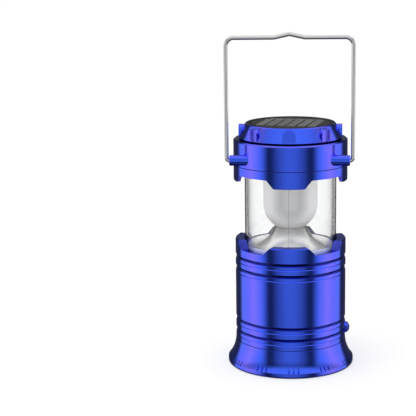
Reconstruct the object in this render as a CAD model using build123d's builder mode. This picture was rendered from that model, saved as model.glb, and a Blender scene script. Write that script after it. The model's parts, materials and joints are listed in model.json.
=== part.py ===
from build123d import *
import math
import os

os.makedirs("parts", exist_ok=True)

# Collapsible solar camping lantern. Millimetres.
# The origin is the centre of the foot's bottom face, +Z is up, -Y is the front and +X the button side.
# The head (cap, globe and lamp) stands pulled up on the body, and the wire bail stands upright.

# ---- driving dimensions: body -------------------------------------------------------------------
foot_radius = 44.1
body_radius = 38.5
body_wall = 2.5
lip_height = 3.6
lip_round = 1.4
flare_top = 19.7
flare_arc_radius = 26.5
parting_height = 17.9
parting_chamfer = 0.4
parting_edge = 0.1
rim_height = 89.8
rim_notch_height = 84.5
rim_round = 1.2
rim_bore = 32.15
rim_underside = 82.3
groove_heights = (25.4, 33.5, 70.4, 78.4)
groove_depth = 1.2
body_tabs = [(turn, 20.0, 28.0, rim_height) for turn in (0, 90, 180, 270)]

# ---- driving dimensions: head -------------------------------------------------------------------
cap_radius = 39.4
cap_bore = 37.0
skirt_tip_height = 130.6
side_tip_height = 131.6
skirt_root_height = 136.4
band_height = 142.2
bevel_height = 158.9
bevel_radius = 38.4
crown_height = 159.8
crown_undercut = 1.1
crown_radius = 35.85
crown_rim_radius = 31.3
crown_top = 170.5
skirt_tabs = [
    (0, 15.5, 22.9, skirt_tip_height),
    (90, 24.5, 28.5, side_tip_height),
    (180, 15.5, 22.9, skirt_tip_height),
    (270, 24.5, 28.5, side_tip_height),
]
lug_face = 35.6
lug_width = 8.9
lug_bottom = 161.2
lug_top = 169.5
lug_count = 8
globe_radius = 31.8
globe_wall = 1.6
globe_top = 139.5
bulb_radius = 18.8
bulb_wall = 1.2
bulb_bottom = 95.0
ceiling_height = 139.6

# ---- driving dimensions: bail, panel and controls ------------------------------------------------
bail_pivot_y = -24.5
bail_pivot_z = 148.0
bail_wire_radius = 1.4
bail_arm_x = 42.4
bail_bar_z = 230.4
bail_crest_rise = 2.3
bail_crest_half = 10.2
pin_radius = 3.6
pin_end = 40.6
pin_bore_radius = 1.46
pin_bore_depth = 6.5
panel_radius = 29.6
panel_bottom = 168.2
panel_rim_bore = 27.7
panel_turn = -12.0
cell_count = 6
cell_width = 6.1
cell_length = 30.0
cell_pitch = 7.2
button_height = 24.6
button_radius = 3.95
button_crest = 41.6
slot_groups = 12
slot_phase = 4.3
slot_floor_radius = 41.4

# ---- inner layout ---------------------------------------------------------------------------------
lens_bottom = 2.8
lens_top = 4.6
lens_radius = 39.0
ledge_bottom = 16.4
ledge_top = 18.3
chassis_top = 20.4
deck_bottom = 37.3
deck_top = 39.2
sleeve_bore = 33.9
globe_base_bottom = 80.0
globe_base_top = 82.0
post_reach = 31.0
post_radius = 2.5
screw_shank = 1.1
screw_head = 2.3
screw_head_height = 1.5
chassis_screw_reach = 32.3
chassis_screw_turn = 20
crown_screw_reach = 30.4
crown_screw_turn = 22.5
torch_board_bottom = 17.3


def radial_plane(turn, reach=0.0):
    """Plane facing outwards at this turn from the front; its own x runs round the body, its y is up."""
    angle = math.radians(turn)
    outwards = (math.sin(angle), -math.cos(angle), 0)
    sideways = (math.cos(angle), math.sin(angle), 0)
    start = (reach * outwards[0], reach * outwards[1], 0)
    return Plane(origin=start, x_dir=sideways, z_dir=outwards)


def flare_point(height):
    """Point of the foot's flare at this height; the flare leaves the body's side at flare_top."""
    drop = flare_top - height
    return (body_radius + flare_arc_radius - math.sqrt(flare_arc_radius**2 - drop**2), height)


def cut_rim_notches(radius, root_height, end_height, tabs, root_round, tip_round):
    """Cut the flanks of each rim tab (turn, half angle at tip, at root, tip height), and its tip if short."""
    reach = 16.0
    inner_radius = 28.0
    for turn, tip_half, root_half, tip_height in tabs:
        way = 1 if tip_height > root_height else -1
        slope = radius * math.tan(math.radians((root_half - tip_half) / 2))
        overrun = slope + 4
        if tip_height != end_height:
            overrun = radius * math.sin(math.radians((tip_half + root_half) / 2)) + 0.5
        for side in (-1, 1):
            middle = turn + side * (tip_half + root_half) / 2
            past_tip = (-side * overrun, tip_height)
            tip = (side * -slope, tip_height)
            root = (side * slope, root_height)
            floor_end = (side * reach, root_height)
            far_end = (side * reach, tip_height + 3 * way)
            far_start = (-side * overrun, tip_height + 3 * way)
            with BuildSketch(radial_plane(middle, inner_radius)) as notch:
                with BuildLine():
                    FilletPolyline(past_tip, tip, root, floor_end, radius=[tip_round, root_round])
                    Polyline(floor_end, far_end, far_start, past_tip)
                make_face()
            extrude(notch.sketch, amount=17, mode=Mode.SUBTRACT)


def groove_outline(height, below):
    """Ring groove with a fine line scored under it, drawn upwards from below; returns its top point."""
    upper = (body_radius, height + 1.0)
    Polyline(
        below,
        (body_radius, height - 4.0),
        (body_radius - 0.35, height - 3.6),
        (body_radius - 0.15, height - 3.3),
        (body_radius - 0.65, height - 1.5),
        (body_radius - groove_depth, height - 1.0),
        upper,
    )
    return upper


def screw_ring(reach, first_turn, count, seat, head_way, shank_length):
    """Pan-head screws standing on a circle; head_way is +1 for heads above the seat, -1 below."""
    with PolarLocations(reach, count, start_angle=first_turn):
        with Locations((0, 0, seat + head_way * screw_head_height / 2)):
            Cylinder(screw_head, screw_head_height)
        with Locations((0, 0, seat - head_way * shank_length / 2)):
            Cylinder(screw_shank, shank_length)


# =============================================== BASE ==============================================

# Flared foot, which is also the head of the torch in the lantern's bottom.
with BuildPart() as foot_ring:
    with BuildSketch(Plane.XZ):
        with BuildLine():
            Line((40.2, 0), (foot_radius - lip_round, 0))
            TangentArc((foot_radius - lip_round, 0), (foot_radius, lip_round), tangent=(1, 0))
            lip_top = flare_point(lip_height + 0.3)
            foot_top = flare_point(parting_height - parting_edge)
            Polyline((foot_radius, lip_round), (foot_radius, lip_height), lip_top)
            ThreePointArc(lip_top, flare_point(10), foot_top)
            Polyline(
                foot_top,
                (foot_top[0] - parting_edge, parting_height),
                (35.8, parting_height),
                (35.8, 21.5),
                (34.6, 21.5),
                (34.6, ledge_top),
                (30.0, ledge_top),
                (30.0, ledge_bottom),
                (36.0, ledge_bottom),
                (36.0, 5.6),
                (39.2, 5.6),
                (39.2, lens_bottom),
                (40.2, lens_bottom),
                (40.2, 0),
            )
        make_face()
    revolve(axis=Axis.Z)
    for group in range(slot_groups):
        for step in (-1, 0, 1):
            turn = slot_phase + group * 360 / slot_groups + step * 4.3
            with BuildSketch(radial_plane(turn, slot_floor_radius)):
                with Locations((0, 5.0)):
                    Rectangle(0.8, 3.0)
            extrude(amount=5, mode=Mode.SUBTRACT)
    with PolarLocations(chassis_screw_reach, 4, start_angle=chassis_screw_turn):
        with Locations((0, 0, ledge_top)):
            Hole(screw_shank + 0.03, depth=1.9)
    with Locations((35, 0, 21), (0, 35, 21)):
        Box(12, 12, 4, mode=Mode.SUBTRACT)
foot_ring.part.label = "foot_ring"
export_step(foot_ring.part, "parts/foot_ring.step")

# Threaded ring that holds the torch lens in the foot.
with BuildPart() as lens_ring:
    with BuildSketch(Plane.XZ):
        with BuildLine():
            Polyline((36.2, 1.0), (37.0, 0.8), (39.9, 0.8), (40.1, 1.1), (40.1, lens_bottom))
            Polyline((40.1, lens_bottom), (36.2, lens_bottom), (36.2, 1.0))
        make_face()
    revolve(axis=Axis.Z)
    with PolarLocations(36.2, 6):
        with Locations((0, 0, 1.4)):
            Box(2.4, 3.0, 1.4, mode=Mode.SUBTRACT)
lens_ring.part.label = "lens_ring"
export_step(lens_ring.part, "parts/lens_ring.step")

with BuildPart() as torch_lens:
    with BuildSketch(Plane.XY.offset(lens_bottom)):
        Circle(lens_radius)
    extrude(amount=lens_top - lens_bottom)
    chamfer(torch_lens.edges(), 0.3)
torch_lens.part.label = "torch_lens"
export_step(torch_lens.part, "parts/torch_lens.step")

with BuildPart() as lens_gasket:
    with BuildSketch(Plane.XZ):
        with Locations((37.9, (lens_top + 5.6) / 2)):
            Rectangle(2.0, 1.0)
    revolve(axis=Axis.Z)
    chamfer(lens_gasket.edges(), 0.2)
lens_gasket.part.label = "lens_gasket"
export_step(lens_gasket.part, "parts/lens_gasket.step")

# Dished torch reflector, open to the lens below and to its light source at the top.
with BuildPart() as torch_reflector:
    with BuildSketch(Plane.XZ):
        with BuildLine():
            Polyline((35.8, 6.4), (35.8, 4.65), (34.6, 4.65), (34.6, 5.2))
            ThreePointArc((34.6, 5.2), (20.0, 12.5), (6.5, 16.0))
            Line((6.5, 16.0), (6.5, 17.1))
            ThreePointArc((6.5, 17.1), (20.4, 13.7), (35.8, 6.4))
        make_face()
    revolve(axis=Axis.Z)
torch_reflector.part.label = "torch_reflector"
export_step(torch_reflector.part, "parts/torch_reflector.step")

with BuildPart() as torch_board:
    with BuildSketch(Plane.XY.offset(torch_board_bottom)):
        Circle(9)
        with PolarLocations(9, 6):
            Circle(1.3, mode=Mode.SUBTRACT)
    extrude(amount=1.0)
torch_board.part.label = "torch_board"
export_step(torch_board.part, "parts/torch_board.step")

with BuildPart() as torch_led:
    with BuildSketch(Plane.XZ):
        with BuildLine():
            Polyline(
                (0, torch_board_bottom),
                (3.6, torch_board_bottom),
                (3.6, torch_board_bottom - 1.3),
                (2.6, torch_board_bottom - 1.3),
            )
            TangentArc(
                (2.6, torch_board_bottom - 1.3),
                (0, torch_board_bottom - 3.9),
                tangent=(0, -1),
            )
            Line((0, torch_board_bottom - 3.9), (0, torch_board_bottom))
        make_face()
    revolve(axis=Axis.Z)
torch_led.part.label = "torch_led"
export_step(torch_led.part, "parts/torch_led.step")

# Chassis plate on the foot's inner ledge, with four posts that carry the deck.
with BuildPart() as chassis_plate:
    with BuildSketch(Plane.XY.offset(ledge_top)):
        Circle(34.4)
        with PolarLocations(chassis_screw_reach, 4, start_angle=chassis_screw_turn):
            Circle(screw_shank + 0.1, mode=Mode.SUBTRACT)
        Circle(3.0, mode=Mode.SUBTRACT)
        with Locations((0, 34)):
            Rectangle(11, 2, mode=Mode.SUBTRACT)
        with Locations((34, 0)):
            Rectangle(2.4, 11.5, mode=Mode.SUBTRACT)
    extrude(amount=chassis_top - ledge_top)
    with BuildSketch(Plane.XY.offset(chassis_top)):
        with PolarLocations(post_reach, 4, start_angle=45):
            Circle(post_radius)
    extrude(amount=deck_bottom - chassis_top)
    with PolarLocations(post_reach, 4, start_angle=45):
        with Locations((0, 0, deck_bottom)):
            Hole(screw_shank + 0.03, depth=9)
chassis_plate.part.label = "chassis_plate"
export_step(chassis_plate.part, "parts/chassis_plate.step")

with BuildPart() as chassis_screws:
    screw_ring(chassis_screw_reach, chassis_screw_turn, 4, chassis_top, 1, 3.6)
chassis_screws.part.label = "chassis_screws"
export_step(chassis_screws.part, "parts/chassis_screws.step")

# Battery: two cells side by side in a tray, with a contact plate at each end.
cell_radius = 7.0
cell_reach = 25.0
cell_height = chassis_top + 1.0 + cell_radius
with BuildPart() as battery_tray:
    with BuildSketch(Plane.XY.offset(chassis_top)):
        Rectangle(32, 53)
    extrude(amount=1.0)
    with BuildSketch(Plane.XY.offset(chassis_top + 1.0)):
        with Locations((0, 25.95), (0, -25.95)):
            Rectangle(32, 1.1)
    extrude(amount=11.0)
    with BuildSketch(Plane.XY.offset(chassis_top + 1.0)):
        with Locations((15.4, 0), (-15.4, 0)):
            Rectangle(1.2, 40)
    extrude(amount=5.0)
battery_tray.part.label = "battery_tray"
export_step(battery_tray.part, "parts/battery_tray.step")

for number, side in ((1, -1), (2, 1)):
    with BuildPart() as battery_cell:
        with BuildSketch(Plane.XZ.offset(-cell_reach)):
            with Locations((side * 7.1, cell_height)):
                Circle(cell_radius)
        extrude(amount=2 * cell_reach - 1.2)
        with BuildSketch(Plane.XZ.offset(cell_reach - 1.2)):
            with Locations((side * 7.1, cell_height)):
                Circle(2.8)
        extrude(amount=1.2)
    battery_cell.part.label = f"battery_cell_{number}"
    export_step(battery_cell.part, f"parts/battery_cell_{number}.step")

with BuildPart() as battery_contacts:
    with BuildSketch(Plane.XY.offset(chassis_top + 2.5)):
        with Locations((0, 25.2), (0, -25.2)):
            Rectangle(26, 0.35)
    extrude(amount=9.0)
battery_contacts.part.label = "battery_contacts"
export_step(battery_contacts.part, "parts/battery_contacts.step")

# Charging circuit, standing on edge beside the battery.
board_face = -20.6
with BuildPart() as circuit_board:
    with BuildSketch(Plane.YZ.offset(board_face)):
        with Locations((0, chassis_top + 8.0)):
            Rectangle(36, 16.0)
            with Locations((-15.5, 6.3), (15.5, 6.3)):
                Circle(1.2, mode=Mode.SUBTRACT)
    extrude(amount=1.6)
circuit_board.part.label = "circuit_board"
export_step(circuit_board.part, "parts/circuit_board.step")

with BuildPart() as charge_chip:
    with BuildSketch(Plane.YZ.offset(board_face - 1.6)):
        with Locations((-12, 30)):
            Rectangle(6, 4)
    extrude(amount=1.6)
    with BuildSketch(Plane.YZ.offset(board_face - 0.4)):
        with Locations((-12, 30)):
            with GridLocations(1.3, 5.2, 4, 2):
                Rectangle(0.5, 1.2)
    extrude(amount=0.4)
charge_chip.part.label = "charge_chip"
export_step(charge_chip.part, "parts/charge_chip.step")

with BuildPart() as power_inductor:
    with BuildSketch(Plane.YZ.offset(board_face - 6)):
        with Locations((0, 30)):
            Circle(4.6)
    extrude(amount=1.2)
    with BuildSketch(Plane.YZ.offset(board_face - 4.8)):
        with Locations((0, 30)):
            Circle(3.4)
    extrude(amount=3.6)
    with BuildSketch(Plane.YZ.offset(board_face - 1.2)):
        with Locations((0, 30)):
            Circle(4.6)
    extrude(amount=1.2)
power_inductor.part.label = "power_inductor"
export_step(power_inductor.part, "parts/power_inductor.step")

with BuildPart() as filter_capacitor:
    with BuildSketch(Plane.YZ.offset(board_face - 9)):
        with Locations((11, 30)):
            Circle(3.2)
    extrude(amount=9)
    fillet(filter_capacitor.edges().group_by(Axis.X)[0], 0.5)
filter_capacitor.part.label = "filter_capacitor"
export_step(filter_capacitor.part, "parts/filter_capacitor.step")

# Tact switch behind the push button, facing +X.
switch_face = 31.0
with BuildPart() as button_switch:
    with BuildSketch(Plane.YZ.offset(25)):
        with Locations((0, button_height)):
            Rectangle(8.4, 8.4)
    extrude(amount=switch_face - 25)
    with BuildSketch(Plane.YZ.offset(switch_face)):
        with Locations((0, button_height)):
            Circle(1.5)
    extrude(amount=1.0)
button_switch.part.label = "button_switch"
export_step(button_switch.part, "parts/button_switch.step")

with BuildPart() as button_spring:
    with BuildLine():
        coil = Helix(
            pitch=0.95,
            height=2.2,
            radius=2.5,
            center=(switch_face + 0.4, 0, button_height),
            direction=(1, 0, 0),
        )
    with BuildSketch(Plane(origin=coil @ 0, z_dir=coil % 0)):
        Circle(0.3)
    sweep(path=coil, is_frenet=True)
button_spring.part.label = "button_spring"
export_step(button_spring.part, "parts/button_spring.step")

# Charging socket at the back, flush with the shell, with its centre contact.
with BuildPart() as charge_socket:
    with BuildSketch(Plane.YZ):
        with BuildLine():
            Polyline(
                (27.6, button_height),
                (27.6, button_height + 3.9),
                (33.6, button_height + 3.9),
                (33.6, button_height + 5.0),
                (35.2, button_height + 5.0),
                (35.2, button_height + 3.9),
                (38.0, button_height + 3.9),
                (38.3, button_height + 3.6),
                (38.3, button_height + 3.0),
                (38.1, button_height + 2.8),
                (29.2, button_height + 2.8),
                (29.2, button_height),
                (27.6, button_height),
            )
        make_face()
    revolve(axis=Axis((0, 0, button_height), (0, 1, 0)))
charge_socket.part.label = "charge_socket"
export_step(charge_socket.part, "parts/charge_socket.step")

with BuildPart() as socket_pin:
    with BuildSketch(Plane.XZ.offset(-29.2)):
        with Locations((0, button_height)):
            Circle(1.0)
    extrude(amount=-7.6)
    fillet(socket_pin.edges().group_by(Axis.Y)[-1], 0.6)
socket_pin.part.label = "socket_pin"
export_step(socket_pin.part, "parts/socket_pin.step")

# Deck that closes the battery compartment off from the space the globe slides into.
with BuildPart() as deck_plate:
    with BuildSketch(Plane.XY.offset(deck_bottom)):
        Circle(35.7)
        Circle(3.5, mode=Mode.SUBTRACT)
        with PolarLocations(post_reach, 4, start_angle=45):
            Circle(screw_shank + 0.1, mode=Mode.SUBTRACT)
    extrude(amount=deck_top - deck_bottom)
    with BuildSketch(Plane.XY.offset(deck_top - 1.2)):
        with PolarLocations(post_reach, 4, start_angle=45):
            Circle(screw_head + 0.1)
    extrude(amount=1.2, mode=Mode.SUBTRACT)
deck_plate.part.label = "deck_plate"
export_step(deck_plate.part, "parts/deck_plate.step")

with BuildPart() as deck_screws:
    with PolarLocations(post_reach, 4, start_angle=45):
        with Locations((0, 0, deck_top - 0.65)):
            Cylinder(screw_head, 1.1)
        with Locations((0, 0, deck_top - 1.2 - 4)):
            Cylinder(screw_shank, 8)
deck_screws.part.label = "deck_screws"
export_step(deck_screws.part, "parts/deck_screws.step")

# Smooth sleeve that guides the globe's base ring.
with BuildPart() as guide_sleeve:
    with BuildSketch(Plane.XY.offset(deck_top)):
        Circle(35.7)
        Circle(sleeve_bore, mode=Mode.SUBTRACT)
    extrude(amount=rim_underside - deck_top)
guide_sleeve.part.label = "guide_sleeve"
export_step(guide_sleeve.part, "parts/guide_sleeve.step")

# Body shell with four ring grooves and a castellated rim.
with BuildPart() as body_shell:
    with BuildSketch(Plane.XZ):
        with BuildLine():
            shell_bottom = (flare_point(parting_height)[0] - parting_chamfer, parting_height)
            chamfer_top = flare_point(parting_height + parting_chamfer)
            below = (body_radius, flare_top)
            Line(shell_bottom, chamfer_top)
            TangentArc(below, chamfer_top, tangent=(0, -1))
            for height in groove_heights:
                below = groove_outline(height, below)
            rim_outside = (body_radius, rim_height - rim_round)
            rim_face = (body_radius - rim_round, rim_height)
            Line(below, rim_outside)
            TangentArc(rim_outside, rim_face, tangent=(0, 1))
            Polyline(
                rim_face,
                (rim_bore + 0.4, rim_height),
                (rim_bore, rim_height - 0.4),
                (rim_bore, rim_underside),
                (body_radius - body_wall, rim_underside),
                (body_radius - body_wall, parting_height),
                shell_bottom,
            )
        make_face()
    revolve(axis=Axis.Z)
    cut_rim_notches(body_radius, rim_notch_height, rim_height, body_tabs, 1.2, 1.2)
    with BuildSketch(Plane.YZ.offset(30)):
        with Locations((0, button_height)):
            Circle(button_radius + 0.2)
    extrude(amount=12, mode=Mode.SUBTRACT)
    with BuildSketch(Plane.XZ.offset(-30)):
        with Locations((0, button_height)):
            Circle(4.0)
    extrude(amount=-12, mode=Mode.SUBTRACT)
body_shell.part.label = "body_shell"
export_step(body_shell.part, "parts/body_shell.step")

# ============================================== BUTTON =============================================

# Domed push button with a retaining flange behind the shell and a stem towards the switch.
with BuildPart() as power_button:
    with BuildSketch(Plane.XZ):
        with BuildLine():
            Polyline(
                (button_crest, button_height),
                (33.1, button_height),
                (33.1, button_height + 1.2),
                (34.4, button_height + 1.2),
                (34.4, button_height + 5.3),
                (35.2, button_height + 5.3),
                (35.2, button_height + button_radius),
                (39.4, button_height + button_radius),
            )
            TangentArc(
                (button_crest, button_height),
                (39.4, button_height + button_radius),
                tangent=(0, 1),
            )
        make_face()
    revolve(axis=Axis((0, 0, button_height), (1, 0, 0)))
power_button.part.label = "power_button"
export_step(power_button.part, "parts/power_button.step")

# =============================================== HEAD ==============================================

# Base ring of the globe: it slides in the sleeve and stops under the rim.
with BuildPart() as globe_base:
    with BuildSketch(Plane.XZ):
        with BuildLine():
            Polyline(
                (8.0, globe_base_bottom),
                (33.3, globe_base_bottom),
                (33.6, 80.3),
                (33.6, 80.6),
                (32.4, 80.6),
                (32.4, 81.4),
                (33.6, 81.4),
                (33.6, globe_base_top),
                (8.0, globe_base_top),
                (8.0, globe_base_bottom),
            )
        make_face()
    revolve(axis=Axis.Z)
globe_base.part.label = "globe_base"
export_step(globe_base.part, "parts/globe_base.step")

with BuildPart() as slide_ring:
    with BuildSketch(Plane.XY.offset(80.6)):
        Circle(33.85)
        Circle(32.4, mode=Mode.SUBTRACT)
    extrude(amount=0.8)
slide_ring.part.label = "slide_ring"
export_step(slide_ring.part, "parts/slide_ring.step")

with BuildPart() as globe:
    with BuildSketch(Plane.XY.offset(globe_base_top)):
        Circle(globe_radius)
        Circle(globe_radius - globe_wall, mode=Mode.SUBTRACT)
    extrude(amount=globe_top - globe_base_top)
globe.part.label = "globe"
export_step(globe.part, "parts/globe.step")

# Trumpet-shaped reflector under the bulb: a thin wall that runs out to an upright edge.
with BuildPart() as light_reflector:
    with BuildSketch(Plane.XZ):
        with BuildLine():
            neck_top = bulb_bottom + 2.9
            outer_neck = Line((10.95, neck_top), (13.4, 93.4))
            TangentArc((13.4, 93.4), (28.6, 83.3), tangent=outer_neck % 1)
            inner_neck = Line((10.15, neck_top), (12.55, 93.1))
            TangentArc((12.55, 93.1), (27.4, globe_base_top), tangent=inner_neck % 1)
            Line((10.15, neck_top), (10.95, neck_top))
            Polyline((28.6, 83.3), (29.2, 86.0), (29.9, 86.0), (29.9, globe_base_top))
            Line((29.9, globe_base_top), (27.4, globe_base_top))
        make_face()
    revolve(axis=Axis.Z)
light_reflector.part.label = "light_reflector"
export_step(light_reflector.part, "parts/light_reflector.step")

# Frosted bulb: a round-ended cup hanging from the ceiling plate.
bulb_centre = bulb_bottom + bulb_radius
bulb_flange = ceiling_height - 1.4
with BuildPart() as bulb_diffuser:
    with BuildSketch(Plane.XZ):
        with BuildLine():
            TangentArc((0, bulb_bottom), (bulb_radius, bulb_centre), tangent=(1, 0))
            Polyline(
                (bulb_radius, bulb_centre),
                (bulb_radius, bulb_flange),
                (bulb_radius + 2.2, bulb_flange),
                (bulb_radius + 2.2, ceiling_height),
                (bulb_radius - bulb_wall, ceiling_height),
                (bulb_radius - bulb_wall, bulb_centre),
            )
            TangentArc(
                (0, bulb_bottom + bulb_wall),
                (bulb_radius - bulb_wall, bulb_centre),
                tangent=(1, 0),
            )
            Line((0, bulb_bottom), (0, bulb_bottom + bulb_wall))
        make_face()
    revolve(axis=Axis.Z)
bulb_diffuser.part.label = "bulb_diffuser"
export_step(bulb_diffuser.part, "parts/bulb_diffuser.step")

# White ceiling plate between the globe and the cap, with the light hole over the bulb.
with BuildPart() as ceiling_plate:
    with BuildSketch(Plane.XY.offset(ceiling_height)):
        Circle(34.8)
        Circle(17.2, mode=Mode.SUBTRACT)
    extrude(amount=1.8)
ceiling_plate.part.label = "ceiling_plate"
export_step(ceiling_plate.part, "parts/ceiling_plate.step")

led_board_bottom = ceiling_height + 1.8
with BuildPart() as led_board:
    with BuildSketch(Plane.XY.offset(led_board_bottom)):
        Circle(21.0)
        Circle(2.5, mode=Mode.SUBTRACT)
        with PolarLocations(18.6, 3, start_angle=30):
            Circle(1.2, mode=Mode.SUBTRACT)
    extrude(amount=1.6)
led_board.part.label = "led_board"
export_step(led_board.part, "parts/led_board.step")

# Six round LEDs pointing down into the bulb.
led_count = 6
led_reach = 9.5
for number in range(led_count):
    led_angle = math.radians(number * 360 / led_count)
    led_x = led_reach * math.cos(led_angle)
    led_y = led_reach * math.sin(led_angle)
    with BuildPart() as led:
        with BuildSketch(Plane(origin=(led_x, led_y, 0), x_dir=(1, 0, 0), z_dir=(0, -1, 0))):
            with BuildLine():
                Polyline(
                    (0, led_board_bottom),
                    (2.9, led_board_bottom),
                    (2.9, led_board_bottom - 1.0),
                    (2.5, led_board_bottom - 1.0),
                    (2.5, led_board_bottom - 6.0),
                )
                TangentArc(
                    (2.5, led_board_bottom - 6.0),
                    (0, led_board_bottom - 8.5),
                    tangent=(0, -1),
                )
                Line((0, led_board_bottom - 8.5), (0, led_board_bottom))
            make_face()
        revolve(axis=Axis((led_x, led_y, 0), (0, 0, 1)))
    led.part.label = f"led_{number + 1}"
    export_step(led.part, f"parts/led_{number + 1}.step")

# Lower cap: castellated skirt with an inner ledge for the ceiling plate and a spigot into the band.
with BuildPart() as cap_skirt:
    with BuildSketch(Plane.XZ):
        with BuildLine():
            Polyline(
                (cap_bore + 0.3, skirt_tip_height),
                (cap_radius - 0.4, skirt_tip_height),
                (cap_radius, skirt_tip_height + 0.4),
                (cap_radius, band_height - parting_edge),
                (cap_radius - parting_edge, band_height),
                (cap_bore - 0.1, band_height),
                (cap_bore - 0.1, band_height + 2.8),
                (35.0, band_height + 2.8),
                (35.0, ceiling_height),
                (32.4, ceiling_height),
                (32.4, ceiling_height - 1.6),
                (cap_bore, ceiling_height - 1.6),
                (cap_bore, skirt_tip_height + 0.3),
                (cap_bore + 0.3, skirt_tip_height),
            )
        make_face()
    revolve(axis=Axis.Z)
    cut_rim_notches(cap_radius, skirt_root_height, skirt_tip_height, skirt_tabs, 1.6, 2.6)
cap_skirt.part.label = "cap_skirt"
export_step(cap_skirt.part, "parts/cap_skirt.step")

# Middle cap band with its bevelled shoulder, inner flange and the two tubular bail pins.
with BuildPart() as cap_band:
    with BuildSketch(Plane.XZ):
        with BuildLine():
            Polyline(
                (cap_radius - parting_chamfer, band_height),
                (cap_radius, band_height + parting_chamfer),
                (cap_radius, bevel_height),
                (bevel_radius, crown_height),
                (0, crown_height),
                (0, band_height),
                (cap_radius - parting_chamfer, band_height),
            )
        make_face()
    revolve(axis=Axis.Z)
    with BuildSketch(Plane.YZ.offset(-pin_end)):
        with Locations((bail_pivot_y, bail_pivot_z)):
            Circle(pin_radius)
    extrude(amount=2 * pin_end)
    chamfer(cap_band.faces().sort_by(Axis.X)[0].edges(), 0.35)
    chamfer(cap_band.faces().sort_by(Axis.X)[-1].edges(), 0.35)
    with BuildSketch(Plane.XY.offset(band_height - 1)):
        Circle(cap_bore)
    extrude(amount=crown_height - 2.4 - band_height + 1, mode=Mode.SUBTRACT)
    with BuildSketch(Plane.XY.offset(crown_height - 3)):
        Circle(27.0)
        with PolarLocations(crown_screw_reach, 4, start_angle=crown_screw_turn):
            Circle(screw_shank + 0.1)
    extrude(amount=4, mode=Mode.SUBTRACT)
    for side in (-1, 1):
        with BuildSketch(Plane.YZ.offset(side * pin_end)):
            with Locations((bail_pivot_y, bail_pivot_z)):
                Circle(pin_bore_radius)
        extrude(amount=-side * pin_bore_depth, mode=Mode.SUBTRACT)
cap_band.part.label = "cap_band"
export_step(cap_band.part, "parts/cap_band.step")

# Conical crown with eight arched lugs, a recess for the solar panel and four screw bosses.
with BuildPart() as cap_crown:
    with BuildSketch(Plane.XZ):
        with BuildLine():
            rim_start = (crown_rim_radius, crown_top - 0.6)
            rim_end = (crown_rim_radius - 0.5, crown_top)
            cone_side = Line((crown_radius, crown_height + crown_undercut), rim_start)
            TangentArc(rim_start, rim_end, tangent=cone_side % 1)
            Polyline(
                rim_end,
                (panel_radius + 0.3, crown_top),
                (panel_radius + 0.3, panel_bottom),
                (0, panel_bottom),
                (0, panel_bottom - 1.6),
                (28.8, panel_bottom - 1.6),
                (32.8, crown_height),
                (34.9, crown_height),
                (crown_radius, crown_height + crown_undercut),
            )
        make_face()
    revolve(axis=Axis.Z)
    with BuildSketch(Plane.XY.offset(crown_height)):
        with PolarLocations(crown_screw_reach, 4, start_angle=crown_screw_turn):
            Circle(2.1)
    extrude(amount=panel_bottom - 1.6 - crown_height)
    with PolarLocations(crown_screw_reach, 4, start_angle=crown_screw_turn):
        with Locations((0, 0, crown_height)):
            Cylinder(
                screw_shank + 0.03,
                5.0,
                align=(Align.CENTER, Align.CENTER, Align.MIN),
                mode=Mode.SUBTRACT,
            )
    for number in range(lug_count):
        with BuildSketch(radial_plane(number * 360 / lug_count, lug_face)):
            arch_centre = lug_top - lug_width / 2
            with Locations((0, arch_centre)):
                Circle(lug_width / 2)
            with Locations((0, (lug_bottom + arch_centre) / 2)):
                Rectangle(lug_width, arch_centre - lug_bottom)
        extrude(amount=-4.4)
cap_crown.part.label = "cap_crown"
export_step(cap_crown.part, "parts/cap_crown.step")

with BuildPart() as crown_screws:
    screw_ring(crown_screw_reach, crown_screw_turn, 4, crown_height - 2.4, -1, 6.8)
crown_screws.part.label = "crown_screws"
export_step(crown_screws.part, "parts/crown_screws.step")

# Round solar panel: backing dish, cell strips, bus bar and the clear cover inside the dish's rim.
panel_face = panel_bottom + 1.5
cover_bottom = panel_face + 0.3
with BuildPart() as solar_panel:
    with BuildSketch(Plane.XY.offset(panel_bottom)):
        Circle(panel_radius)
    extrude(amount=panel_face - panel_bottom)
    with BuildSketch(Plane.XY.offset(panel_face)):
        Circle(panel_radius)
        Circle(panel_rim_bore - 0.7, mode=Mode.SUBTRACT)
    extrude(amount=cover_bottom - panel_face)
    with BuildSketch(Plane.XY.offset(cover_bottom)):
        Circle(panel_radius)
        Circle(panel_rim_bore, mode=Mode.SUBTRACT)
    extrude(amount=crown_top - cover_bottom)
solar_panel.part.label = "solar_panel"
export_step(solar_panel.part, "parts/solar_panel.step")

panel_plane = Plane.XY.offset(panel_face).rotated((0, 0, panel_turn))
for number in range(cell_count):
    strip_x = (number - (cell_count - 1) / 2) * cell_pitch
    with BuildPart() as solar_cell:
        with BuildSketch(panel_plane):
            with Locations((strip_x, 0)):
                Rectangle(cell_width, cell_length)
        extrude(amount=0.25)
    solar_cell.part.label = f"solar_cell_{number + 1}"
    export_step(solar_cell.part, f"parts/solar_cell_{number + 1}.step")

with BuildPart() as solar_bus_bar:
    with BuildSketch(panel_plane):
        with Locations((0, cell_length / 2 + 2.4)):
            Rectangle(cell_count * cell_pitch - 6, 1.6)
    extrude(amount=0.25)
solar_bus_bar.part.label = "solar_bus_bar"
export_step(solar_bus_bar.part, "parts/solar_bus_bar.step")

with BuildPart() as solar_cover:
    with BuildSketch(Plane.XY.offset(cover_bottom)):
        Circle(panel_rim_bore - 0.1)
    extrude(amount=0.5)
    chamfer(solar_cover.edges().group_by(Axis.Z)[-1], 0.2)
solar_cover.part.label = "solar_cover"
export_step(solar_cover.part, "parts/solar_cover.step")

# =============================================== BAIL ==============================================

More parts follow.
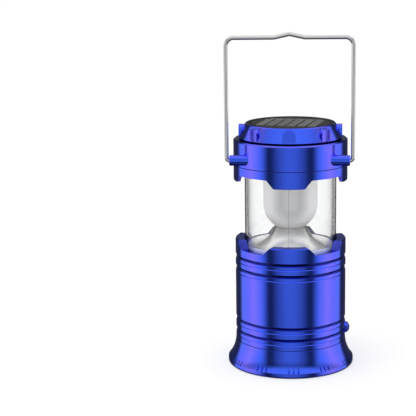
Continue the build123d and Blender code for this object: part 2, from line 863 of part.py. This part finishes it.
# One bent wire: its ends turn inwards into the bail pins, and its bar rises to a small crest.
tang_end = pin_end - pin_bore_depth + 0.4
with BuildPart() as bail_wire:
    with BuildLine(Plane.XZ.offset(-bail_pivot_y)) as bail_path:
        FilletPolyline(
            (-tang_end, bail_pivot_z),
            (-bail_arm_x, bail_pivot_z),
            (-bail_arm_x, bail_bar_z),
            (-bail_crest_half, bail_bar_z),
            (0, bail_bar_z + bail_crest_rise),
            (bail_crest_half, bail_bar_z),
            (bail_arm_x, bail_bar_z),
            (bail_arm_x, bail_pivot_z),
            (tang_end, bail_pivot_z),
            radius=[1.9, 5.5, 6.0, 2.2, 6.0, 5.5, 1.9],
        )
    with BuildSketch(Plane(origin=bail_path.line @ 0, z_dir=bail_path.line % 0)):
        Circle(bail_wire_radius)
    sweep(path=bail_path.line)
bail_wire.part.label = "bail_wire"
export_step(bail_wire.part, "parts/bail_wire.step")
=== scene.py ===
import json
import math

import bmesh
import bpy
from mathutils import Matrix, Vector


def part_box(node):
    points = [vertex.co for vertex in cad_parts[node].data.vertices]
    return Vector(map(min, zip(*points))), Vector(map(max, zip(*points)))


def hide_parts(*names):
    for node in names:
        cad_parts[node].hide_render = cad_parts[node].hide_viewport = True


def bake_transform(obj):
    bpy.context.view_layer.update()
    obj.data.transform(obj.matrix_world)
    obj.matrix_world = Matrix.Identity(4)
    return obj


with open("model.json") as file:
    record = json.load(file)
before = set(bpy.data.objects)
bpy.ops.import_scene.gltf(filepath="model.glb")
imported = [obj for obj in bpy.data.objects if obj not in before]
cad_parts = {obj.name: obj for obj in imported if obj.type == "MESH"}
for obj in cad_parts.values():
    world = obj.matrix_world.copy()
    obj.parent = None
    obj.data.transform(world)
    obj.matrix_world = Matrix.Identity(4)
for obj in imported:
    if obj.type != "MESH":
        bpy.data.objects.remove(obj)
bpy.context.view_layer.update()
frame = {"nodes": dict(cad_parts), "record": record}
nodes = frame["nodes"]
scene = bpy.context.scene

# ---- camera -------------------------------------------------------------------------------------
# Lens in millimetres, places in metres. The camera is turned round the lantern's axis by camera_turn.
camera_lens = 114.4
camera_distance = 0.904
camera_height = 0.29937
camera_yaw = math.radians(-3.645)
camera_pitch = math.radians(11.792)
camera_roll = math.radians(-0.812)
camera_turn = math.radians(1.4)


def make_camera():
    """Long lens, a little above the lantern and looking past its left side."""
    forward = Vector((
        math.sin(camera_yaw) * math.cos(camera_pitch),
        math.cos(camera_yaw) * math.cos(camera_pitch),
        -math.sin(camera_pitch),
    ))
    level_right = Vector((math.cos(camera_yaw), -math.sin(camera_yaw), 0))
    level_up = level_right.cross(forward)
    right = math.cos(camera_roll) * level_right + math.sin(camera_roll) * level_up
    up = -math.sin(camera_roll) * level_right + math.cos(camera_roll) * level_up
    placed = Matrix((
        (right.x, up.x, -forward.x, 0),
        (right.y, up.y, -forward.y, -camera_distance),
        (right.z, up.z, -forward.z, camera_height),
        (0, 0, 0, 1),
    ))
    data = bpy.data.cameras.new("camera")
    data.lens = camera_lens
    data.sensor_width = 36
    data.clip_start = 0.05
    data.clip_end = 100
    camera = bpy.data.objects.new("camera", data)
    camera.matrix_world = Matrix.Rotation(camera_turn, 4, "Z") @ placed
    scene.collection.objects.link(camera)
    scene.camera = camera


# ---- node helpers -------------------------------------------------------------------------------
def grey(level):
    return (level, level, level, 1)


class Nodes:
    """A short way to write a node tree. Each call adds a node, and takes sockets or plain values."""

    def __init__(self, tree):
        self.tree = tree
        tree.nodes.clear()

    def add(self, kind, inputs=None, **settings):
        node = self.tree.nodes.new(kind)
        for name, value in settings.items():
            setattr(node, name, value)
        for name, value in (inputs or {}).items():
            if isinstance(value, bpy.types.NodeSocket):
                self.tree.links.new(value, node.inputs[name])
            else:
                node.inputs[name].default_value = value
        return node

    def math(self, operation, a, b=0.0):
        return self.add("ShaderNodeMath", {0: a, 1: b}, operation=operation).outputs[0]

    def near(self, value, middle, half_width):
        """1 where the value is within half_width of middle, and 0 elsewhere."""
        inputs = {0: value, 1: middle, 2: half_width}
        return self.add("ShaderNodeMath", inputs, operation="COMPARE").outputs[0]

    def ramp(self, factor, stops):
        """A colour from the factor. Each stop is a position with a grey level or a colour."""
        node = self.add("ShaderNodeValToRGB", {"Fac": factor})
        elements = node.color_ramp.elements
        while len(elements) < len(stops):
            elements.new(0.5)
        for element, (position, colour) in zip(elements, stops):
            element.position = position
            element.color = grey(colour) if isinstance(colour, (int, float)) else (*colour, 1)
        return node.outputs["Color"]

    def mix(self, factor, a, b, blend="MIX"):
        node = self.add("ShaderNodeMix", {"Factor": factor}, data_type="RGBA", blend_type=blend)
        for socket, value in ((node.inputs[6], a), (node.inputs[7], b)):
            if isinstance(value, bpy.types.NodeSocket):
                self.tree.links.new(value, socket)
            else:
                socket.default_value = (*value, 1)
        return node.outputs[2]

    def blend(self, factor, low, high):
        """A number between low and high, by a factor from 0 to 1."""
        inputs = {"Value": factor, "To Min": low, "To Max": high}
        return self.add("ShaderNodeMapRange", inputs).outputs[0]

    def noise(self, vector, scale, detail=3.0, roughness=0.5):
        inputs = {"Vector": vector, "Scale": scale, "Detail": detail, "Roughness": roughness}
        return self.add("ShaderNodeTexNoise", inputs).outputs["Fac"]

    def bump(self, height, distance, strength):
        inputs = {"Height": height, "Distance": distance, "Strength": strength}
        return self.add("ShaderNodeBump", inputs).outputs["Normal"]

    def place(self):
        """Where a point lies on the object, in metres."""
        return self.add("ShaderNodeTexCoord").outputs["Object"]

    def part_of(self, vector, axis):
        return self.add("ShaderNodeSeparateXYZ", {0: vector}).outputs[axis]

    def stretched(self, vector, scale):
        return self.add("ShaderNodeMapping", {"Vector": vector, "Scale": scale}).outputs[0]

    def edge_on(self):
        """0 where a surface faces the eye, rising to 1 where it is seen edge-on."""
        return self.add("ShaderNodeLayerWeight", {"Blend": 0.5}).outputs["Facing"]


def surface(name, settings):
    """A new material with a Principled shader; returns the material, its node writer and the shader."""
    material = bpy.data.materials.new(name)
    material.use_nodes = True
    tree = Nodes(material.node_tree)
    shader = tree.add("ShaderNodeBsdfPrincipled", settings)
    output = tree.add("ShaderNodeOutputMaterial")
    material.node_tree.links.new(shader.outputs["BSDF"], output.inputs["Surface"])
    return material, tree, shader


def feed(tree, socket, shader, name):
    tree.tree.links.new(socket, shader.inputs[name])


# ---- studio -------------------------------------------------------------------------------------
# Brightness of the tall soft boxes, by degrees round the lantern from its front. Both sides are alike.
boxes_turn = math.radians(-1.0)
box_levels = [
    (0, 0.67), (10, 0.64), (20, 0.49), (28, 0.35), (36, 0.14), (41, 0.08), (46, 0.09), (51, 0.35),
    (57, 0.75), (62, 0.98), (70, 1.03), (122, 1.05), (127, 0.22), (131, 0.07),
    (170, 0.07), (175, 0.12), (180, 0.14),
]
# The boxes' brightness by degrees above the horizon, and how far the overhead screen covers them there.
rise_levels = [
    (-90, 0.06), (-68, 0.06), (-60, 0.40), (-46, 0.40), (-38, 0.08), (-30, 0.08), (-25, 0.14),
    (-20, 1.00), (20, 1.00), (28, 0.58), (37, 0.42), (43, 0.80), (90, 0.90),
]
overhead_cover = [(30.0, 0.0), (35.5, 0.35), (40.0, 1.0)]
overhead_white = (0.96, 0.96, 0.96)
diffuse_white = (0.95, 0.95, 0.95)
backdrop_white = (0.995, 0.995, 0.995)


def scaled(stops, low, high):
    """Ramp stops given in degrees between low and high, with their positions from 0 to 1."""
    return [((degrees - low) / (high - low), level) for degrees, level in stops]


def make_world():
    """Plain studio: white to the camera, and to the reflections a row of tall soft boxes with dark gaps."""
    world = bpy.data.worlds.new("studio")
    scene.world = world
    world.use_nodes = True
    tree = Nodes(world.node_tree)
    ray = tree.add("ShaderNodeTexCoord").outputs["Generated"]
    turned = tree.add("ShaderNodeMapping", {"Vector": ray, "Rotation": (0, 0, boxes_turn)}).outputs[0]
    parts = tree.add("ShaderNodeSeparateXYZ", {0: turned}).outputs
    sideways = tree.math("ABSOLUTE", parts["X"])
    towards = tree.math("MULTIPLY", parts["Y"], -1.0)
    turn = tree.math("DIVIDE", tree.math("ARCTAN2", sideways, towards), math.pi)
    round_the_lantern = tree.ramp(turn, scaled(box_levels, 0, 180))
    climb = tree.math("DIVIDE", tree.math("ARCSINE", parts["Z"]), math.pi)
    rise = tree.math("ADD", climb, 0.5)
    upwards = tree.ramp(rise, scaled(rise_levels, -90, 90))
    overhead = tree.ramp(rise, scaled(overhead_cover, -90, 90))
    banded = tree.mix(1.0, round_the_lantern, upwards, "MULTIPLY")
    reflected = tree.mix(overhead, banded, overhead_white)
    path = tree.add("ShaderNodeLightPath").outputs
    soft = tree.mix(path["Is Diffuse Ray"], reflected, diffuse_white)
    seen = tree.mix(path["Is Camera Ray"], soft, backdrop_white)
    background = tree.add("ShaderNodeBackground", {"Color": seen, "Strength": 1.0})
    output = tree.add("ShaderNodeOutputWorld")
    world.node_tree.links.new(background.outputs[0], output.inputs["Surface"])


def make_lights():
    """One broad overhead softbox for the gentle shadow under the lantern. The metal doesn't mirror it."""
    data = bpy.data.lights.new("overhead_softbox", "AREA")
    data.shape = "DISK"
    data.size = 1.0
    data.energy = 3.0
    light = bpy.data.objects.new("overhead_softbox", data)
    light.location = (-0.25, -0.35, 1.3)
    towards_lantern = Vector((0, 0, 0.08)) - light.location
    light.rotation_euler = towards_lantern.to_track_quat("-Z", "Y").to_euler()
    light.visible_glossy = False
    light.visible_camera = False
    light.visible_transmission = False
    scene.collection.objects.link(light)


def make_floor():
    """Plain pale floor, which the lantern's metal doesn't mirror."""
    material, tree, shader = surface("floor_paper", {
        "Roughness": 0.9,
        "Specular IOR Level": 0.0,
        "Emission Color": (1, 1, 1, 1),
        "Emission Strength": 0.45,
    })
    grain = tree.noise(tree.place(), 90.0)
    feed(tree, tree.ramp(grain, [(0.3, 0.59), (0.7, 0.61)]), shader, "Base Color")
    half = 30.0
    mesh = bpy.data.meshes.new("floor")
    corners = [(-half, -half, 0), (half, -half, 0), (half, half, 0), (-half, half, 0)]
    mesh.from_pydata(corners, [], [(0, 1, 2, 3)])
    mesh.materials.append(material)
    floor = bpy.data.objects.new("floor", mesh)
    floor.visible_glossy = False
    scene.collection.objects.link(floor)


# ---- materials ----------------------------------------------------------------------------------
# Lowest and highest point of each joint line and groove in the blue metal, from the foot up, in metres. The
# blue is painted darker within these bands: painted shade.
dark_lines = [
    (0.01785, 0.01828),
    (0.0244, 0.0263),
    (0.0325, 0.0344),
    (0.0694, 0.0713),
    (0.0774, 0.0793),
    (0.14215, 0.14258),
    (0.15975, 0.16085),
]
# The colour of the painted shade in the grooves and joint lines.
groove_shade_blue = (0.022, 0.046, 0.34)


def metallic_blue(name, roughness=0.16):
    """Blue lacquer over bright metal, with fine spin lines. It turns a little violet away from the eye.

    In the turned grooves and the joint lines the colour is painted darker: painted shade where these
    hollows lie in shadow.
    """
    material, tree, shader = surface(name, {"Metallic": 1.0})
    place = tree.place()
    spin = tree.noise(tree.stretched(place, (30, 30, 2600)), 1.0, 2.0)
    cloud = tree.noise(place, 60.0, 2.0)
    tint = tree.ramp(tree.edge_on(), [
        (0.00, (0.056, 0.138, 1.00)),
        (0.16, (0.060, 0.128, 0.98)),
        (0.29, (0.185, 0.155, 0.99)),
        (0.40, (0.120, 0.130, 0.98)),
        (0.50, (0.062, 0.122, 0.94)),
        (1.00, (0.050, 0.110, 0.90)),
    ])
    shade = tree.blend(cloud, 0.94, 1.05)
    height = tree.part_of(place, "Z")
    # Painted shade: 1 within any of the groove and joint bands, by height.
    groove_shade = 0.0
    for low, high in dark_lines:
        groove_shade = tree.math("ADD", groove_shade, tree.near(height, (low + high) / 2, (high - low) / 2))
    lacquer = tree.mix(1.0, tint, shade, "MULTIPLY")
    feed(tree, tree.mix(groove_shade, lacquer, groove_shade_blue), shader, "Base Color")
    feed(tree, tree.blend(spin, roughness - 0.03, roughness + 0.03), shader, "Roughness")
    feed(tree, tree.bump(spin, 0.00001, 0.5), shader, "Normal")
    return material


def moulded_plastic(name, colour, roughness=0.5, grain=0.00004, shine=0.5):
    """Moulded plastic with a fine spark-eroded grain and slightly uneven gloss."""
    material, tree, shader = surface(name, {"Specular IOR Level": shine})
    place = tree.place()
    fine = tree.noise(place, 2200.0, 3.0, 0.6)
    cloud = tree.noise(place, 120.0, 2.0)
    dark = tuple(0.92 * c for c in colour)
    light = tuple(min(1.0, 1.06 * c) for c in colour)
    feed(tree, tree.mix(cloud, dark, light), shader, "Base Color")
    feed(tree, tree.blend(cloud, roughness - 0.06, roughness + 0.06), shader, "Roughness")
    feed(tree, tree.bump(fine, grain, 0.6), shader, "Normal")
    return material


def clear_plastic(name, tint, edge, ior, seams=0.0):
    """Clear moulded plastic with faint flow waviness. Its colour is painted darker where it is seen
    edge-on: painted shade for its dark sides.

    The seams are the faint upright lines that the moulding tool's halves leave at the front and back.
    """
    seam_across = -0.0005
    seam_half_width = 0.00022
    material, tree, shader = surface(name, {"Transmission Weight": 1.0, "IOR": ior})
    place = tree.place()
    waves = tree.noise(tree.stretched(place, (60, 60, 12)), 1.0, 2.0)
    cloud = tree.noise(place, 200.0, 2.0)
    light = tuple(min(1.0, 1.01 * c) for c in tint)
    # Painted shade: the colour goes towards the edge level where the plastic is seen edge-on.
    side = tree.ramp(tree.edge_on(), [(0.20, 0.0), (0.42, 0.08), (0.56, 0.28), (0.68, 0.70), (0.80, 1.0)])
    shown = tree.mix(side, tree.mix(cloud, tint, light), (edge, edge, edge))
    if seams:
        seam = tree.near(tree.part_of(place, "X"), seam_across, seam_half_width)
        shown = tree.mix(tree.math("MULTIPLY", seam, seams), shown, (0.25, 0.26, 0.27))
    feed(tree, shown, shader, "Base Color")
    feed(tree, tree.blend(cloud, 0.02, 0.04), shader, "Roughness")
    feed(tree, tree.bump(waves, 0.0001, 0.3), shader, "Normal")
    return material


def frosted_plastic(name):
    """Milky diffusing plastic: most of the light is scattered. Painted shade darkens its underside and
    varies with the angle to the eye, and a faint painted glow lights it though it is unlit.
    """
    material, tree, shader = surface(name, {
        "Subsurface Weight": 0.35,
        "Subsurface Scale": 0.004,
        "Subsurface Radius": (1.0, 1.0, 1.0),
        "Transmission Weight": 0.15,
        "IOR": 1.48,
        "Emission Strength": 0.22,
    })
    place = tree.place()
    cloud = tree.noise(place, 110.0, 3.0)
    frost = tree.noise(place, 3200.0, 2.0)
    # Painted shading by the angle to the eye, brightest part-way towards the rim.
    around = tree.ramp(tree.edge_on(), [
        (0.00, 0.70), (0.08, 0.59), (0.20, 0.80), (0.34, 1.00), (0.60, 0.95), (0.80, 0.80),
    ])
    # Painted shade: darker where the surface faces down.
    upward = tree.part_of(tree.add("ShaderNodeNewGeometry").outputs["Normal"], "Z")
    below = tree.ramp(tree.math("ADD", upward, 1.0), [(0.0, 0.55), (0.4, 0.68), (0.8, 0.94), (1.0, 1.0)])
    # The painted shading darkens the colour and also drives a faint glow: painted light, as the bulb is
    # unlit.
    glow = tree.mix(1.0, around, below, "MULTIPLY")
    tone = tree.mix(cloud, (0.95, 0.95, 0.955), (1.0, 1.0, 1.0))
    feed(tree, tree.mix(1.0, glow, tone, "MULTIPLY"), shader, "Base Color")
    feed(tree, glow, shader, "Emission Color")
    feed(tree, tree.blend(cloud, 0.38, 0.48), shader, "Roughness")
    feed(tree, tree.bump(frost, 0.00003, 0.5), shader, "Normal")
    return material


def bright_metal(name, colour, roughness=0.25, stretch=(400, 400, 400), depth=0.00002):
    """Drawn, turned or plated metal. Its fine lines run along the axis in which stretch is least."""
    material, tree, shader = surface(name, {"Metallic": 1.0})
    place = tree.place()
    drawn = tree.noise(tree.stretched(place, stretch), 1.0, 3.0)
    cloud = tree.noise(place, 150.0, 2.0)
    dark = tuple(0.88 * c for c in colour)
    feed(tree, tree.mix(cloud, dark, colour), shader, "Base Color")
    feed(tree, tree.blend(drawn, roughness - 0.05, roughness + 0.07), shader, "Roughness")
    feed(tree, tree.bump(drawn, depth, 0.5), shader, "Normal")
    return material


def reflector_coating(name):
    """Satin plating with painted shade: darker under the bulb, where its shadow falls, and where it is seen
    edge-on.

    The light that bounces between the lamp's reflector and the globe is added as a faint glow of the
    reflector's foot. The torch's reflector, far below it, has no such glow.
    """
    material, tree, shader = surface(name, {"Metallic": 0.75, "Emission Strength": 1.0})
    place = tree.place()
    cloud = tree.noise(place, 90.0, 3.0)
    fine = tree.noise(place, 900.0, 2.0)
    low, high = (corner[2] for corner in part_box("light_reflector"))
    rise = tree.math("DIVIDE", tree.math("SUBTRACT", tree.part_of(place, "Z"), low), high - low)
    # Painted shadow of the bulb: the plating is darker towards the top, under the bulb.
    painted_bulb_shadow = tree.ramp(rise, [(0.0, 1.0), (0.55, 1.0), (0.85, 0.62), (1.0, 0.50)])
    above_torch = tree.math("GREATER_THAN", rise, -0.5)
    bounce = tree.ramp(rise, [(0.0, 0.36), (0.45, 0.32), (0.75, 0.05), (1.0, 0.0)])
    # Painted shade: darker where the plating is seen edge-on.
    sideways = tree.ramp(tree.edge_on(), [(0.0, 1.0), (0.45, 0.95), (0.7, 0.45), (1.0, 0.4)])
    plating = tree.mix(cloud, (0.88, 0.88, 0.88), (0.98, 0.98, 0.98))
    shaded = tree.mix(1.0, tree.mix(1.0, plating, painted_bulb_shadow, "MULTIPLY"), sideways, "MULTIPLY")
    feed(tree, shaded, shader, "Base Color")
    glow = tree.mix(1.0, tree.mix(1.0, bounce, shaded, "MULTIPLY"), above_torch, "MULTIPLY")
    feed(tree, glow, shader, "Emission Color")
    feed(tree, tree.blend(cloud, 0.24, 0.32), shader, "Roughness")
    feed(tree, tree.bump(fine, 0.00002, 0.4), shader, "Normal")
    return material


def silicon(name):
    """Polycrystalline silicon: crystals of slightly different shade under fine printed fingers.

    The strips lie at even steps across the turned panel, and their bare cut edges are nearly black.
    """
    panel_turn = math.radians(12)
    strip_pitch = 0.0072
    bare_edge = 0.0009
    finger_pitch = 0.0011
    finger_half_width = 0.00007
    material, tree, shader = surface(name, {"Roughness": 0.32, "Specular IOR Level": 0.2})
    place = tree.place()
    inputs = {"Vector": place, "Scale": 420.0, "Randomness": 1.0}
    crystal = tree.add("ShaderNodeTexVoronoi", inputs).outputs["Color"]
    shade = tree.add("ShaderNodeSeparateColor", {0: crystal}).outputs[0]
    base = tree.mix(shade, (0.20, 0.21, 0.20), (0.29, 0.30, 0.285))
    turned = tree.add("ShaderNodeMapping", {"Vector": place, "Rotation": (0, 0, panel_turn)}).outputs[0]
    across = tree.part_of(turned, "X")
    finger = tree.math("LESS_THAN", tree.math("PINGPONG", across, finger_pitch / 2), finger_half_width)
    printed = tree.mix(finger, base, (0.50, 0.51, 0.50))
    bare = tree.math("LESS_THAN", tree.math("PINGPONG", across, strip_pitch / 2), bare_edge)
    feed(tree, tree.mix(bare, printed, (0.012, 0.012, 0.012)), shader, "Base Color")
    return material


def circuit_board(name, colour):
    """Solder-resist lacquer with copper tracks showing through as a lighter maze."""
    material, tree, shader = surface(name, {"Roughness": 0.35, "Coat Weight": 0.3})
    inputs = {"Vector": tree.place(), "Scale": 350.0, "Randomness": 0.0}
    cells = tree.add("ShaderNodeTexVoronoi", inputs, distance="CHEBYCHEV").outputs["Distance"]
    tracks = tree.math("GREATER_THAN", cells, 0.42)
    lighter = tuple(min(1.0, 1.35 * c + 0.01) for c in colour)
    feed(tree, tree.mix(tracks, colour, lighter), shader, "Base Color")
    feed(tree, tree.bump(tracks, 0.00003, 0.6), shader, "Normal")
    return material


def make_materials():
    """One material for each material slot of the record, and panel_black for the panel's backing dish."""
    return {
        "blue_metallic": metallic_blue("blue_metallic"),
        "blue_button": metallic_blue("blue_button", 0.2),
        "black_plastic": moulded_plastic("black_plastic", (0.018, 0.018, 0.02), 0.45),
        "panel_black": moulded_plastic("panel_black", (0.022, 0.022, 0.022), 0.6, shine=0.08),
        "white_plastic": moulded_plastic("white_plastic", (0.80, 0.81, 0.81), 0.45),
        "grey_plastic": moulded_plastic("grey_plastic", (0.42, 0.43, 0.44), 0.5),
        "clear_plastic": clear_plastic("clear_plastic", (0.95, 0.955, 0.955), 0.03, 1.46, seams=0.28),
        "lens_plastic": clear_plastic("lens_plastic", (0.96, 0.97, 0.97), 0.90, 1.06),
        "frosted_plastic": frosted_plastic("frosted_plastic"),
        "mirror_coating": reflector_coating("mirror_coating"),
        "steel_wire": bright_metal("steel_wire", (0.79, 0.80, 0.80), 0.11, (1500, 1500, 60)),
        "screw_steel": bright_metal("screw_steel", (0.58, 0.58, 0.58), 0.3),
        "spring_steel": bright_metal("spring_steel", (0.60, 0.60, 0.60), 0.25),
        "contact_metal": bright_metal("contact_metal", (0.72, 0.69, 0.62), 0.25),
        "board_green": circuit_board("board_green", (0.03, 0.16, 0.07)),
        "board_white": circuit_board("board_white", (0.72, 0.73, 0.72)),
        "led_resin": moulded_plastic("led_resin", (0.86, 0.84, 0.62), 0.15, 0.00001),
        "cell_sleeve": moulded_plastic("cell_sleeve", (0.03, 0.25, 0.10), 0.25, 0.00001),
        "component_black": moulded_plastic("component_black", (0.02, 0.02, 0.022), 0.5),
        "copper_coil": bright_metal("copper_coil", (0.62, 0.28, 0.12), 0.3, (2500, 100, 100), 0.0001),
        "silicon": silicon("silicon"),
        "bus_silver": moulded_plastic("bus_silver", (0.50, 0.51, 0.51), 0.4),
        "gasket_rubber": moulded_plastic("gasket_rubber", (0.02, 0.02, 0.02), 0.7),
    }


def dress_nodes(materials):
    """Every CAD node gets the material of its slot, but for the panel's dull black backing dish."""
    own_materials = {"solar_panel": "panel_black"}
    for row in frame["record"]["subparts"]:
        chosen = own_materials.get(row["node"], row["material_slot"])
        node = nodes[row["node"]]
        node.data.materials.clear()
        node.data.materials.append(materials[chosen])


# ---- the button's spring ------------------------------------------------------------------------
def make_button_spring(material):
    """Coil spring with flat ends, between the switch and the button."""
    low, high = (Vector(corner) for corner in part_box("button_spring"))
    wire_radius = 0.0003
    turns = 3.0
    flat_turns = 0.3
    steps = 96
    sides = 12
    coil_radius = (high.y - low.y) / 2 - wire_radius
    start = Vector((low.x + wire_radius, (low.y + high.y) / 2, (low.z + high.z) / 2))
    end = Vector((high.x - wire_radius, start.y, start.z))
    shape = bmesh.new()
    rings = []
    for step in range(steps + 1):
        turned = turns * step / steps
        climbed = min(max((turned - flat_turns) / (turns - 2 * flat_turns), 0.0), 1.0)
        angle = 2 * math.pi * turned
        outwards = Vector((0, math.cos(angle), math.sin(angle)))
        middle = start.lerp(end, climbed) + coil_radius * outwards
        ring = []
        for side in range(sides):
            around = 2 * math.pi * side / sides
            offset = math.cos(around) * outwards + math.sin(around) * Vector((1, 0, 0))
            ring.append(shape.verts.new(middle + wire_radius * offset))
        rings.append(ring)
    for ring, following in zip(rings, rings[1:]):
        for side in range(sides):
            beside = (side + 1) % sides
            shape.faces.new((ring[side], ring[beside], following[beside], following[side]))
    shape.faces.new(rings[0])
    shape.faces.new(rings[-1])
    bmesh.ops.recalc_face_normals(shape, faces=shape.faces)
    for face in shape.faces:
        face.smooth = len(face.verts) == 4
    mesh = bpy.data.meshes.new("button_coil_spring")
    shape.to_mesh(mesh)
    shape.free()
    mesh.materials.append(material)
    spring = bpy.data.objects.new("button_coil_spring", mesh)
    scene.collection.objects.link(spring)
    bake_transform(spring)
    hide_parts("button_spring")


# ---- the scene ----------------------------------------------------------------------------------
make_camera()
make_world()
make_lights()
make_floor()
materials = make_materials()
dress_nodes(materials)
make_button_spring(materials["spring_steel"])
scene.view_settings.view_transform = "Standard"
